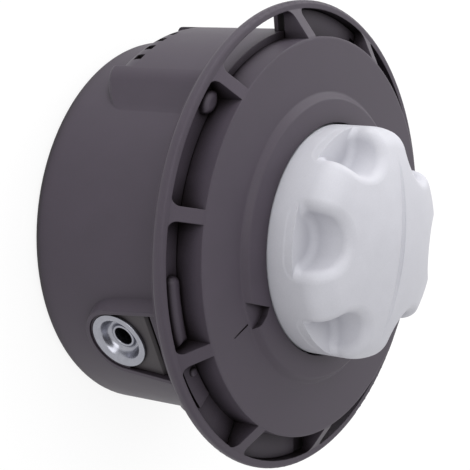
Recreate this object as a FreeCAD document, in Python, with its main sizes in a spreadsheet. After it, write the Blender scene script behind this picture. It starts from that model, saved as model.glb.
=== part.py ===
import FreeCAD, Part
import math
import os
import re
import Sketcher

# Bump feed trimmer head, standing on the flat back of its drum with the bump
# knob up. +Z is the spin axis, the origin is the centre of the drum's back
# face, and the two line outlets look along -X and +X. Millimetres and degrees.

SIZES = {
    # How far a cutting block runs past what it cuts, and a root into its wall
    "cut_margin": 1.0,
    # Drum of the housing
    "drum_radius": 52.5,
    "drum_wall": 2.5,
    "back_wall": 3.0,
    "back_round": 3.2,
    # Mouth of the housing, which the cap's rim closes round
    "rim_height": 54.0,
    "floor_depth": 2.7,
    "flange_thickness": 1.3,
    "flange_gap": 0.3,
    # Hub column and the threaded bush in it
    "hub_radius": 11.5,
    "hub_clearance": 1.0,
    "bush_radius": 7.0,
    "bush_bore": 4.35,
    "bush_flats": 15.0,
    "bush_head": 10.0,
    "bush_gap": 0.05,
    # Line outlets
    "eyelet_height": 27.6,
    "outlet_plate_out": 1.7,
    "outlet_floor_in": 1.6,
    "outlet_seat_in": 4.2,
    "outlet_boss_out": 3.0,
    "outlet_radius": 9.0,
    "outlet_taper": 5.7,
    "outlet_lip": 1.2,
    "outlet_draft": 14.0,
    "outlet_top": 40.8,
    "insert_slit": 1.3,
    "insert_gap": 0.1,
    "insert_chamfer": 0.7,
    "eyelet_flange": 8.4,
    "eyelet_flange_thickness": 1.0,
    "eyelet_annulus": 6.5,
    "eyelet_cup": 6.8,
    "eyelet_stem": 4.6,
    "eyelet_stem_gap": 0.1,
    "eyelet_collar": 5.7,
    "eyelet_collar_length": 0.9,
    "eyelet_bowl": 4.2,
    "eyelet_bowl_depth": 3.3,
    "eyelet_bowl_curve": 4.6,
    "eyelet_tube": 3.5,
    "eyelet_tube_depth": 2.2,
    "eyelet_tube_chamfer": 0.3,
    "eyelet_bore": 2.65,
    # Latch shrouds on the drum
    "shroud_angle": 82.2,
    "shroud_out": 4.7,
    "shroud_wall": 1.6,
    "shroud_rear": 11.7,
    "shroud_seat": 44.0,
    "shroud_half_width": 26.5,
    "shroud_end_curve": 12.0,
    "shroud_end_round": 1.6,
    "shroud_half_angle": 16.6,
    "shroud_shoulder_curve": 7.0,
    "shroud_shoulder_angle": 20.3,
    "shroud_shoulder_out": 3.7,
    "shroud_crease_angle": 25.7,
    "shroud_crease_out": 1.0,
    "shroud_foot_angle": 28.6,
    "shroud_foot_curve": 14.0,
    "shroud_side_angle": 36.0,
    "shroud_ledge_top": 19.5,
    "shroud_ledge_curve": 9.0,
    "shroud_ledge_angle": 15.9,
    "shroud_inside_half_angle": 14.0,
    "shroud_inside_rear": 15.0,
    "shroud_inside_step": 1.4,
    "shroud_inside_full": 21.5,
    "mouth_angle": 83.4,
    "mouth_span": 40.0,
    "catch_step": 0.7,
    "catch_height": 24.0,
    "slot_width": 2.4,
    "slot_pitch": 5.35,
    "slot_angle": 85.5,
    "slot_rear": 16.9,
    "slot_length": 2.7,
    # Raised features on the housing's mouth, seen through the cap's windows
    "ramp_angle": 166.4,
    "ramp_span": 16.6,
    "ramp_inner_out": 3.4,
    "ramp_outer_out": 7.7,
    "ramp_rise": 2.3,
    "ramp_round": 1.8,
    "ramp_end_fullness": 0.53,
    "panel_angle": 187.0,
    "panel_span": 14.0,
    "panel_inner_out": 3.4,
    "panel_outer_out": 8.3,
    "panel_rise": 1.1,
    "nub_angle": 183.9,
    "nub_out": 5.1,
    "nub_radius": 1.3,
    "nub_rise": 1.9,
    "nub_round": 0.7,
    "stop_angle": 111.2,
    "stop_out": 5.9,
    "stop_length": 7.2,
    "stop_width": 5.2,
    "stop_rise": 2.4,
    "stop_round": 1.5,
    "dip_angle": 214.1,
    "dip_span": 6.0,
    "dip_inner_out": 0.9,
    "dip_outer_out": 8.1,
    "dip_depth": 0.8,
    # Cap
    "rim_out": 12.5,
    "rim_width": 2.2,
    "rim_depth": 3.6,
    "rim_rear_round": 2.0,
    "rim_front_round": 0.9,
    "cap_out": 2.8,
    "cap_edge_rise": 5.3,
    "cap_edge_round": 2.0,
    "cap_wall": 2.4,
    "cap_floor_gap": 0.3,
    "ring_foot_radius": 40.2,
    "ring_foot_rise": 6.3,
    "ring_radius": 38.6,
    "ring_rise": 8.0,
    "ring_round": 0.7,
    "hole_radius": 32.1,
    "hole_rise": 8.9,
    "hole_wall": 4.7,
    "window_count": 10,
    "window_turn": 15.3,
    "window_round": 2.0,
    "spoke_width": 3.8,
    "tongue_gap": 0.4,
    "tongue_thickness": 1.8,
    "tongue_span": 22.0,
    "tongue_hook": 0.7,
    "tongue_hook_height": 2.8,
    "tongue_hook_land": 0.8,
    "mark_rise": 6.5,
    "notch_tip": 33.2,
    "notch_tip_side": 0.7,
    "notch_open": 41.0,
    "notch_far_side": 7.6,
    "notch_side": 2.0,
    "notch_knee": 37.2,
    "notch_waist": 34.9,
    "mark_line_width": 0.5,
    "mark_line_floor": 5.7,
    "mark_line_inner": 40.6,
    "mark_line_outer": 46.7,
    # Ratchet teeth between the spool, the cap and the drum's back
    "tooth_ring": 36.6,
    "tooth_ring_width": 2.4,
    "tooth_inset": 0.3,
    "tooth_root": 0.5,
    "tooth_height": 1.5,
    "tooth_width": 7.0,
    "tooth_flat": 1.2,
    "tooth_gap": 0.3,
    "tooth_count": 12,
    "bump_travel": 5.5,
    # Spool
    "spool_in": 6.5,
    "spool_flange": 1.8,
    "spool_divider": 5.0,
    "core_radius": 20.0,
    "core_wall": 1.9,
    "web_bottom": 23.5,
    "web_top": 31.5,
    "channel_radius": 2.2,
    "channel_flare": 3.4,
    "channel_flare_length": 2.0,
    # Knob
    "knob_radius": 31.6,
    "knob_top": 85.1,
    "knob_crown": 77.4,
    "knob_round": 8.0,
    "knob_wall": 2.8,
    "knob_flange_radius": 34.5,
    "knob_flange_thickness": 2.0,
    "knob_flange_gap": 0.3,
    "knob_stem_wall": 2.6,
    "knob_stem_gap": 0.15,
    "scallop_count": 6,
    "scallop_radius": 7.6,
    "scallop_centre": 29.5,
    "scallop_floor": 70.4,
    "scallop_round": 3.0,
    "scallop_cove": 2.2,
    "scallop_sill": 4.2,
    "scallop_sill_inset": 0.08,
    "scallop_turn": 25.5,
    "groove_turn": 56.0,
    "groove_radius": 1.3,
    "groove_depth": 0.8,
    "groove_sweep": 96.0,
    "groove_span": 40.0,
    # Screws that hold the knob on the spool
    "screw_count": 3,
    "screw_centre": 11.6,
    "screw_radius": 1.9,
    "screw_gap": 0.05,
    "screw_head_radius": 3.4,
    "screw_head_height": 2.3,
    "screw_head_gap": 0.2,
    "screw_head_sink": 0.4,
    "screw_length": 17.0,
    "screw_tip_gap": 1.0,
    "screw_recess": 1.6,
    "post_wall": 1.5,
    # Spring and its two washers
    "spring_radius": 14.3,
    "spring_wire": 0.9,
    "spring_turns": 4.5,
    "spring_gap": 0.2,
    "washer_radius": 16.8,
    "washer_bore": 12.0,
    "washer_thickness": 1.0,
    "washer_gap": 0.3,
}

# Places that move with the drum or the rim: an _out lies outside the drum's
# radius, an _in inside it
PLACES = {
    "rim_rear": "(rim_height - rim_depth)",
    "outlet_plate": "(drum_radius + outlet_plate_out)",
    "outlet_floor": "(drum_radius - outlet_floor_in)",
    "outlet_seat": "(drum_radius - outlet_seat_in)",
    "outlet_boss": "(drum_radius + outlet_boss_out)",
    "shroud_radius": "(drum_radius + shroud_out)",
    "shroud_shoulder_radius": "(drum_radius + shroud_shoulder_out)",
    "shroud_crease_radius": "(drum_radius + shroud_crease_out)",
    "ramp_inner": "(drum_radius + ramp_inner_out)",
    "ramp_outer": "(drum_radius + ramp_outer_out)",
    "panel_inner": "(drum_radius + panel_inner_out)",
    "panel_outer": "(drum_radius + panel_outer_out)",
    "nub_centre": "(drum_radius + nub_out)",
    "stop_centre": "(drum_radius + stop_out)",
    "dip_inner": "(drum_radius + dip_inner_out)",
    "dip_outer": "(drum_radius + dip_outer_out)",
    "cap_radius": "(drum_radius + cap_out)",
    "rim_radius": "(drum_radius + rim_out)",
    "spool_radius": "(drum_radius - spool_in)",
}

# Heights and radii that follow from the sizes
DRUM_INSIDE = "(drum_radius - drum_wall)"
FLANGE_RADIUS = "(rim_radius - rim_width - flange_gap)"
FLANGE_FRONT = "(rim_height - floor_depth)"
FLANGE_BACK = f"({FLANGE_FRONT} - flange_thickness)"
HUB_TOP = "(web_bottom - bump_travel - hub_clearance)"
SPOOL_BOTTOM = "(back_wall + 2 * tooth_height + tooth_gap + bump_travel)"
SPOOL_TOP = f"(2 * eyelet_height - {SPOOL_BOTTOM})"
TOOTH_TOP = f"({SPOOL_TOP} + tooth_height)"
CAP_TOOTH_TIP = f"({TOOTH_TOP} + tooth_gap)"
CAP_RING_END = f"({CAP_TOOTH_TIP} + tooth_height)"
CAP_BOTTOM = f"({FLANGE_FRONT} + cap_floor_gap)"
CAP_EDGE = "(rim_height + cap_edge_rise)"
CAP_INSIDE = "(cap_radius - cap_wall)"
HOLE_TOP = "(rim_height + hole_rise)"
HOLE_BOTTOM = f"({HOLE_TOP} - hole_wall)"
KNOB_FLANGE_TOP = f"({HOLE_BOTTOM} - knob_flange_gap)"
KNOB_FLANGE_BOTTOM = f"({KNOB_FLANGE_TOP} - knob_flange_thickness)"
STEM_RADIUS = "(core_radius - core_wall - knob_stem_gap)"
STEM_INSIDE = f"({STEM_RADIUS} - knob_stem_wall)"
SHROUD_INSIDE = "(shroud_radius - shroud_wall)"
INSERT_TOP = "(outlet_top - insert_slit)"

document = FreeCAD.newDocument("trimmer_head")
sheet = document.addObject("Spreadsheet::Sheet", "Sizes")
for row, (alias, value) in enumerate(SIZES.items(), start=1):
    sheet.set(f"A{row}", alias)
    sheet.set(f"B{row}", str(value))
    sheet.setAlias(f"B{row}", alias)
document.recompute()

X_AXIS = FreeCAD.Vector(1, 0, 0)
Y_AXIS = FreeCAD.Vector(0, 1, 0)
Z_AXIS = FreeCAD.Vector(0, 0, 1)


def bound(formula):
    """The formula with its places written out and each size pointing at its cell."""
    places_out = re.sub(
        r"[a-z][a-z_]+", lambda word: PLACES.get(word.group(), word.group()), str(formula)
    )
    return re.sub(
        r"[a-z][a-z_]+",
        lambda word: f"Sizes.{word.group()}" if word.group() in SIZES else word.group(),
        places_out,
    )


def number(formula):
    """What the formula gives with the sizes as they are."""
    return float(sheet.evalExpression(bound(formula)))


def origin_feature(body, role):
    return next(item for item in body.Origin.OriginFeatures if item.Role == role)


def new_body(name):
    body = document.addObject("PartDesign::Body", name)
    body.Label = name
    return body


def new_sketch(body, name, plane, height=None, turn=None):
    """Sketch on an origin plane, moved along its normal and turned about +Z."""
    sketch = body.newObject("Sketcher::SketchObject", name)
    sketch.AttachmentSupport = (origin_feature(body, plane), [""])
    sketch.MapMode = "FlatFace"
    if turn is not None:
        axis = Z_AXIS if plane == "XY_Plane" else Y_AXIS
        rotation = FreeCAD.Rotation(axis, number(turn))
        sketch.AttachmentOffset = FreeCAD.Placement(FreeCAD.Vector(), rotation)
        sketch.setExpression("AttachmentOffset.Rotation.Angle", f"({bound(turn)}) * 1 deg")
    if height is not None and turn is not None and plane != "XY_Plane":
        sketch.setExpression("AttachmentOffset.Base.x", bound(f"({height}) * sin({turn})"))
        sketch.setExpression("AttachmentOffset.Base.z", bound(f"({height}) * cos({turn})"))
    elif height is not None:
        sketch.setExpression("AttachmentOffset.Base.z", bound(height))
    return sketch


def fix(sketch, kind, geometry, point, formula):
    """Hold one measure of a sketch to a formula of the sizes."""
    if kind == "Radius":
        index = sketch.addConstraint(Sketcher.Constraint(kind, geometry, number(formula)))
    else:
        index = sketch.addConstraint(
            Sketcher.Constraint(kind, -1, 1, geometry, point, number(formula))
        )
    name = f"measure{index}"
    sketch.renameConstraint(index, name)
    sketch.setExpression(f"Constraints.{name}", bound(formula))


def side_arc(start, end, radius):
    """Arc from start to end; a positive radius curves to the left of travel.

    Gives the arc and its point numbers for start and end.
    """
    chord = end.sub(start)
    middle = start.add(end).multiply(0.5)
    left = FreeCAD.Vector(-chord.y, chord.x, 0).normalize()
    reach = math.sqrt(max(radius * radius - chord.Length**2 / 4, 0.0))
    centre = middle.add(left.multiply(math.copysign(reach, radius)))
    first = math.atan2(start.y - centre.y, start.x - centre.x)
    last = math.atan2(end.y - centre.y, end.x - centre.x)
    circle = Part.Circle(centre, Z_AXIS, abs(radius))
    if radius > 0:
        return Part.ArcOfCircle(circle, first, last), 1, 2
    return Part.ArcOfCircle(circle, last, first), 2, 1


def add_outline(sketch, corners):
    """Closed outline. A corner is (x, y), or (x, y, radius) with a side that
    leaves it as an arc, centred to the left of travel when radius is positive."""
    points = [FreeCAD.Vector(number(corner[0]), number(corner[1]), 0) for corner in corners]
    ends = []
    for index, corner in enumerate(corners):
        start = points[index]
        end = points[(index + 1) % len(points)]
        if len(corner) == 2:
            geometry = sketch.addGeometry(Part.LineSegment(start, end))
            ends.append((geometry, 1, 2))
        else:
            arc, first, last = side_arc(start, end, number(corner[2]))
            geometry = sketch.addGeometry(arc)
            ends.append((geometry, first, last))
    for index, (geometry, _, last) in enumerate(ends):
        following, first, _ = ends[(index + 1) % len(ends)]
        sketch.addConstraint(Sketcher.Constraint("Coincident", geometry, last, following, first))
    for corner, (geometry, first, _) in zip(corners, ends):
        fix(sketch, "DistanceX", geometry, first, corner[0])
        fix(sketch, "DistanceY", geometry, first, corner[1])
        if len(corner) == 3:
            fix(sketch, "Radius", geometry, None, f"abs({corner[2]})")


def add_circle(sketch, x, y, radius):
    centre = FreeCAD.Vector(number(x), number(y), 0)
    geometry = sketch.addGeometry(Part.Circle(centre, Z_AXIS, number(radius)))
    fix(sketch, "DistanceX", geometry, 3, x)
    fix(sketch, "DistanceY", geometry, 3, y)
    fix(sketch, "Radius", geometry, None, radius)


def outline(body, name, plane, corners, height=None, turn=None):
    sketch = new_sketch(body, name, plane, height, turn)
    add_outline(sketch, corners)
    return sketch


def turned(body, sketch, span=None, cut=False):
    """Revolve a section about +Z, all round or over a span centred on it."""
    kind = "PartDesign::Groove" if cut else "PartDesign::Revolution"
    feature = body.newObject(kind, f"{sketch.Name}_turned")
    feature.Profile = sketch
    feature.ReferenceAxis = (sketch, ["V_Axis"])
    feature.Angle = 360
    if span is not None:
        feature.Midplane = True
        feature.Angle = number(span)
        feature.setExpression("Angle", f"({bound(span)}) * 1 deg")
    return feature


def raised(body, sketch, length, reversed_side=False):
    feature = body.newObject("PartDesign::Pad", f"{sketch.Name}_raised")
    feature.Profile = sketch
    feature.Reversed = reversed_side
    feature.setExpression("Length", bound(length))
    return feature


def sunk(body, sketch, length, reversed_side=False):
    feature = body.newObject("PartDesign::Pocket", f"{sketch.Name}_sunk")
    feature.Profile = sketch
    feature.Reversed = reversed_side
    feature.setExpression("Length", bound(length))
    return feature


def repeated(body, features, count):
    """Repeat features evenly about +Z."""
    pattern = body.newObject("PartDesign::PolarPattern", f"{features[0].Name}_repeated")
    pattern.Originals = features
    pattern.Axis = (origin_feature(body, "Z_Axis"), [""])
    pattern.Angle = 360
    pattern.setExpression("Occurrences", bound(count))
    body.Tip = pattern
    return pattern


def rounded(body, name, radius, wanted):
    """Round the edges of the body that the wanted test picks."""
    document.recompute()
    base = body.Tip
    names = [
        f"Edge{index}"
        for index, edge in enumerate(base.Shape.Edges, start=1)
        if wanted(edge)
    ]
    fillet = body.newObject("PartDesign::Fillet", name)
    fillet.Base = (base, names)
    fillet.Radius = number(radius)
    fillet.setExpression("Radius", bound(radius))
    body.Tip = fillet
    return fillet


def middle_of(edge):
    """Point halfway along an edge."""
    return edge.valueAt((edge.FirstParameter + edge.LastParameter) / 2)


def near(left, right, slack=0.02):
    return abs(left - right) < slack


def is_ring(edge, radius, height):
    """Whether an edge is part of a circle about +Z at a radius and height."""
    places = [edge.valueAt(value) for value in edge.ParameterRange]
    places.append(middle_of(edge))
    wanted_radius = number(radius)
    wanted_height = number(height)
    return all(
        near(math.hypot(place.x, place.y), wanted_radius) and near(place.z, wanted_height)
        for place in places
    )


def is_level(edge, height):
    """Whether an edge lies at a height."""
    box = edge.BoundBox
    return near(box.ZMin, number(height)) and near(box.ZMax, number(height))


def polar(radius, angle):
    """Sketch coordinates of a point at a radius and angle."""
    return f"{radius} * cos({angle})", f"{radius} * sin({angle})"


def outlet_outline(radius, top):
    """U shape of the line outlet: round below, spreading sides, straight top."""
    half_width = f"({radius} / cos(outlet_taper) + ({top} - eyelet_height) * tan(outlet_taper))"
    side_y = f"eyelet_height - {radius} * sin(outlet_taper)"
    side_x = f"{radius} * cos(outlet_taper)"
    return [
        (f"-{side_x}", side_y, radius),
        (side_x, side_y),
        (half_width, top),
        (f"-{half_width}", top),
    ]


def sector(inner, outer, bottom, top):
    """Rectangle of a section, for a block that is turned about +Z."""
    return [(inner, bottom), (outer, bottom), (outer, top), (inner, top)]


def ratchet(body, name, root, tip):
    """Ring of teeth with one steep and one sloping flank, from root to tip."""
    corners = [
        ("-tooth_width / 2", root),
        ("tooth_width / 2", root),
        ("tooth_width / 2", tip),
        ("tooth_width / 2 - tooth_flat", tip),
    ]
    sketch = outline(body, name, "YZ_Plane", corners, height="tooth_ring + tooth_inset")
    tooth = raised(body, sketch, "tooth_ring_width - 2 * tooth_inset")
    return repeated(body, [tooth], "tooth_count")


def build_housing():
    """Drum with its back, hub, mouth flange, outlets and latch shrouds."""
    body = new_body("housing")
    bore = "(bush_radius + bush_gap)"
    shell = [
        (bore, "0"),
        ("drum_radius", "0"),
        ("drum_radius", FLANGE_BACK),
        (FLANGE_RADIUS, FLANGE_BACK),
        (FLANGE_RADIUS, FLANGE_FRONT),
        (DRUM_INSIDE, FLANGE_FRONT),
        (DRUM_INSIDE, "back_wall"),
        ("hub_radius", "back_wall"),
        ("hub_radius", HUB_TOP),
        (bore, HUB_TOP),
    ]
    turned(body, outline(body, "drum", "XZ_Plane", shell, turn="shroud_angle / 2"))
    rounded(body, "drum_back_round", "back_round", lambda edge: is_ring(edge, "drum_radius", "0"))

    # Raised surrounds of the two outlets
    boss_top = f"({FLANGE_BACK} + flange_thickness / 2)"
    spread = "(outlet_boss - outlet_seat) * tan(outlet_draft)"
    foot = outline(
        body, "outlet_foot", "YZ_Plane",
        outlet_outline(f"(outlet_radius + outlet_lip + {spread})", boss_top),
        height="outlet_seat",
    )
    top = outline(
        body, "outlet_surround", "YZ_Plane",
        outlet_outline("(outlet_radius + outlet_lip)", boss_top), height="outlet_boss",
    )
    boss = body.newObject("PartDesign::AdditiveLoft", "outlet_surround_lofted")
    boss.Profile = foot
    boss.Sections = [top]
    boss.Ruled = True

    # Latch shrouds: a block with rounded ends, cut to an arched roof with hollow flanks
    end_foot = "(shroud_rear + shroud_end_curve)"
    end_start = "(shroud_half_width - shroud_end_curve)"
    shroud = outline(
        body, "shroud", "YZ_Plane",
        [
            ("-shroud_half_width", end_foot, "shroud_end_curve"),
            (f"-{end_start}", "shroud_rear"),
            (end_start, "shroud_rear", "shroud_end_curve"),
            ("shroud_half_width", end_foot),
            ("shroud_half_width", FLANGE_BACK),
            ("-shroud_half_width", FLANGE_BACK),
        ],
        height="shroud_seat", turn="shroud_angle",
    )
    shroud_block = raised(body, shroud, "shroud_radius + cut_margin - shroud_seat")
    far = "(rim_radius + cut_margin)"
    around = outline(
        body, "shroud_outside", "XY_Plane",
        [
            polar("drum_radius", "-shroud_side_angle") + ("drum_radius",),
            polar("drum_radius", "-shroud_foot_angle") + ("-shroud_foot_curve",),
            polar("shroud_crease_radius", "-shroud_crease_angle"),
            polar("shroud_shoulder_radius", "-shroud_shoulder_angle") + ("shroud_shoulder_curve",),
            polar("shroud_radius", "-shroud_half_angle") + ("shroud_radius",),
            polar("shroud_radius", "shroud_half_angle") + ("shroud_shoulder_curve",),
            polar("shroud_shoulder_radius", "shroud_shoulder_angle"),
            polar("shroud_crease_radius", "shroud_crease_angle") + ("-shroud_foot_curve",),
            polar("drum_radius", "shroud_foot_angle") + ("drum_radius",),
            polar("drum_radius", "shroud_side_angle"),
            polar(far, "shroud_side_angle") + (f"-{far}",),
            polar(far, "-shroud_side_angle"),
        ],
        height=FLANGE_BACK, turn="shroud_angle",
    )
    around_cut = sunk(body, around, f"{FLANGE_BACK} - shroud_rear + cut_margin")
    below = "(shroud_rear - cut_margin)"
    hollow = outline(
        body, "shroud_hollow", "XZ_Plane",
        sector("(shroud_seat - cut_margin)", DRUM_INSIDE, below, "rim_height"),
        turn="shroud_angle",
    )
    hollow_cut = turned(body, hollow, "2 * shroud_side_angle", cut=True)

    # Raised ramp, panel, nub and stop on the mouth flange
    root = f"({FLANGE_FRONT} - flange_thickness / 2)"
    ramp_end = "(ramp_span / 2)"
    ramp_width = "(ramp_outer - ramp_inner)"
    ramp = outline(
        body, "ramp", "XY_Plane",
        [
            polar("ramp_outer", f"-{ramp_end}") + ("ramp_outer",),
            polar("ramp_outer", ramp_end),
            polar("ramp_inner", ramp_end) + ("-ramp_inner",),
            polar("ramp_inner", f"-{ramp_end}") + (f"{ramp_width} * ramp_end_fullness",),
        ],
        height=root, turn="ramp_angle",
    )
    panel = outline(
        body, "panel", "XY_Plane",
        [
            polar("panel_outer", "-panel_span / 2") + ("panel_outer",),
            polar("panel_outer", "panel_span / 2"),
            polar("panel_inner", "panel_span / 2") + ("-panel_inner",),
            polar("panel_inner", "-panel_span / 2"),
        ],
        height=root, turn="panel_angle",
    )
    stop_curve = "((stop_length^2 + stop_width^2) / (4 * stop_width))"
    stop = outline(
        body, "stop", "XY_Plane",
        [
            ("stop_centre", "-stop_length / 2", stop_curve),
            ("stop_centre", "stop_length / 2", stop_curve),
        ],
        height=root, turn="stop_angle",
    )
    nub = new_sketch(body, "nub", "XY_Plane", height=root, turn="nub_angle")
    add_circle(nub, "nub_centre", "0", "nub_radius")
    blocks = [
        raised(body, sketch, f"{sketch.Name}_rise + flange_thickness / 2")
        for sketch in (ramp, panel, stop, nub)
    ]
    shrouds = [shroud_block, around_cut, hollow_cut]
    repeated(body, [boss] + shrouds + blocks, "2")
    for part in ("ramp", "stop", "nub"):
        crest = f"({FLANGE_FRONT} + {part}_rise)"
        rounded(body, f"{part}_crest", f"{part}_round", lambda edge: is_level(edge, crest))

    # Soft ends of the shrouds, and the lower ledge between them that holds the slots
    def is_shroud_end(edge):
        middle = middle_of(edge)
        turn = math.degrees(math.atan2(middle.y, middle.x)) - number("shroud_angle")
        off = abs((turn + 90) % 180 - 90)
        flank = number("shroud_half_angle") < off < number("shroud_shoulder_angle")
        on_drum = math.hypot(middle.x, middle.y) < number("drum_radius + shroud_inside_step")
        return flank and not on_drum and middle.z < number(end_foot)

    rounded(body, "shroud_end_round", "shroud_end_round", is_shroud_end)
    rise = "(drum_radius - shroud_radius + shroud_ledge_curve)"
    beyond = "(shroud_radius + cut_margin)"
    ledge = outline(
        body, "shroud_ledge", "XZ_Plane",
        [
            ("drum_radius", below),
            (beyond, below),
            (beyond, "shroud_ledge_top"),
            ("shroud_radius", "shroud_ledge_top", "-shroud_ledge_curve"),
            ("drum_radius", f"(shroud_ledge_top - sqrt(shroud_ledge_curve^2 - {rise}^2))"),
        ],
        turn="shroud_angle",
    )
    ledge_cut = turned(body, ledge, "2 * shroud_ledge_angle", cut=True)

    # Cuts of the outlets
    plate_face = outline(
        body, "outlet_face", "YZ_Plane",
        outlet_outline("outlet_radius", FLANGE_BACK), height="outlet_plate",
    )
    face_cut = sunk(body, plate_face, "outlet_boss", reversed_side=True)
    pocket_face = outline(
        body, "outlet_pocket", "YZ_Plane",
        outlet_outline("outlet_radius", "outlet_top"), height="outlet_floor",
    )
    pocket_cut = sunk(body, pocket_face, "outlet_boss", reversed_side=True)
    stem = new_sketch(body, "outlet_hole", "YZ_Plane", height="outlet_boss")
    add_circle(stem, "0", "eyelet_height", "(eyelet_stem + eyelet_stem_gap)")
    stem_cut = sunk(body, stem, "outlet_boss - outlet_seat + drum_wall")

    # Inside of the shrouds, with the step that catches the cap's tongue
    throat = f"({SHROUD_INSIDE} - catch_step)"
    inside = [
        ("drum_radius", "shroud_inside_rear"),
        ("(drum_radius + shroud_inside_step)", "shroud_inside_rear"),
        (SHROUD_INSIDE, "shroud_inside_full"),
        (SHROUD_INSIDE, "catch_height"),
        (throat, "catch_height"),
        (throat, "rim_height"),
        ("drum_radius", "rim_height"),
    ]
    inside_sketch = outline(body, "shroud_inside", "XZ_Plane", inside, turn="shroud_angle")
    inside_cut = turned(body, inside_sketch, "2 * shroud_inside_half_angle", cut=True)
    clear = sector("shroud_radius", "rim_radius", f"({FLANGE_BACK} - cut_margin)", "rim_height")
    clear_sketch = outline(body, "shroud_window", "XZ_Plane", clear, turn="mouth_angle")
    clear_cut = turned(body, clear_sketch, "mouth_span", cut=True)
    dip = sector("dip_inner", "dip_outer", f"({FLANGE_FRONT} - dip_depth)", "rim_height")
    dip_sketch = outline(body, "flange_dip", "XZ_Plane", dip, turn="dip_angle")
    dip_cut = turned(body, dip_sketch, "dip_span", cut=True)
    slots = new_sketch(
        body, "shroud_slots", "XY_Plane", height="slot_rear", turn="slot_angle"
    )
    for step in (-1.5, -0.5, 0.5, 1.5):
        turn = f"{step} * slot_pitch"
        middle = "(drum_radius + shroud_wall / 2)"
        across = "slot_width / 2"
        far = "rim_radius"
        add_outline(slots, [
            (f"{middle} * cos({turn}) + {across} * sin({turn})",
             f"{middle} * sin({turn}) - {across} * cos({turn})"),
            (f"{far} * cos({turn}) + {across} * sin({turn})",
             f"{far} * sin({turn}) - {across} * cos({turn})"),
            (f"{far} * cos({turn}) - {across} * sin({turn})",
             f"{far} * sin({turn}) + {across} * cos({turn})"),
            (f"{middle} * cos({turn}) - {across} * sin({turn})",
             f"{middle} * sin({turn}) + {across} * cos({turn})"),
        ])
    slots_cut = sunk(body, slots, "slot_length", reversed_side=True)
    repeated(
        body,
        [ledge_cut, face_cut, pocket_cut, stem_cut, inside_cut, clear_cut, dip_cut, slots_cut],
        "2",
    )

    # Hexagon seat of the bush and the teeth on the drum's back
    seat = new_sketch(body, "bush_seat", "XY_Plane", height=HUB_TOP)
    reach = "(bush_flats / sqrt(3) + bush_gap)"
    add_outline(seat, [polar(reach, f"{60 * step}") for step in range(6)])
    sunk(body, seat, "bush_head")
    ratchet(body, "back_tooth", "(back_wall - tooth_root)", "(back_wall + tooth_height)")
    return body


def build_bush():
    """Steel bush with a hexagon head and the thread for the drive shaft."""
    body = new_body("threaded_bush")
    head = outline(
        body, "head", "XY_Plane",
        [polar("(bush_flats / sqrt(3))", f"{60 * step}") for step in range(6)],
        height=f"({HUB_TOP} - bush_head)",
    )
    raised(body, head, "bush_head")
    shank = new_sketch(body, "shank", "XY_Plane", height=f"({HUB_TOP} - bush_head)")
    add_circle(shank, "0", "0", "bush_radius")
    raised(body, shank, f"({HUB_TOP} - bush_head)", reversed_side=True)
    bore = new_sketch(body, "bore", "XY_Plane", height=HUB_TOP)
    add_circle(bore, "0", "0", "bush_bore")
    sunk(body, bore, HUB_TOP)
    return body


def outlet_placement(side):
    """Frame of an outlet: its Z looks outwards and its X upwards."""
    face = FreeCAD.Rotation(Y_AXIS, -90)
    turn = FreeCAD.Rotation(Z_AXIS, 180 * side)
    return FreeCAD.Placement(FreeCAD.Vector(), turn.multiply(face))


def build_insert(side):
    """Moulded plate that fills the outlet's pocket round the eyelet."""
    body = new_body(f"outlet_insert_{side + 1}")
    body.Placement = outlet_placement(side)
    radius = "(outlet_radius - insert_gap)"
    half_width = (
        f"({radius} / cos(outlet_taper) + ({INSERT_TOP} - eyelet_height) * tan(outlet_taper))"
    )
    side_x = f"(eyelet_height - {radius} * sin(outlet_taper))"
    side_y = f"({radius} * cos(outlet_taper))"
    corners = [
        (side_x, side_y, radius),
        (side_x, f"-{side_y}"),
        (INSERT_TOP, f"-{half_width}"),
        (INSERT_TOP, half_width),
    ]
    plate = outline(body, "plate", "XY_Plane", corners, height="outlet_floor")
    raised(body, plate, "outlet_plate - outlet_floor")
    hole = new_sketch(body, "hole", "XY_Plane", height="outlet_plate")
    add_circle(hole, "eyelet_height", "0", "(eyelet_cup + eyelet_stem_gap)")
    sunk(body, hole, "outlet_plate")

    document.recompute()
    base = body.Tip
    names = [
        f"Edge{index}"
        for index, edge in enumerate(base.Shape.Edges, start=1)
        if near(middle_of(edge).z, number("outlet_plate"))
        and near(middle_of(edge).x, number(INSERT_TOP))
    ]
    chamfer = body.newObject("PartDesign::Chamfer", "plate_chamfer")
    chamfer.Base = (base, names)
    chamfer.setExpression("Size", bound("insert_chamfer"))
    body.Tip = chamfer
    return body


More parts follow.
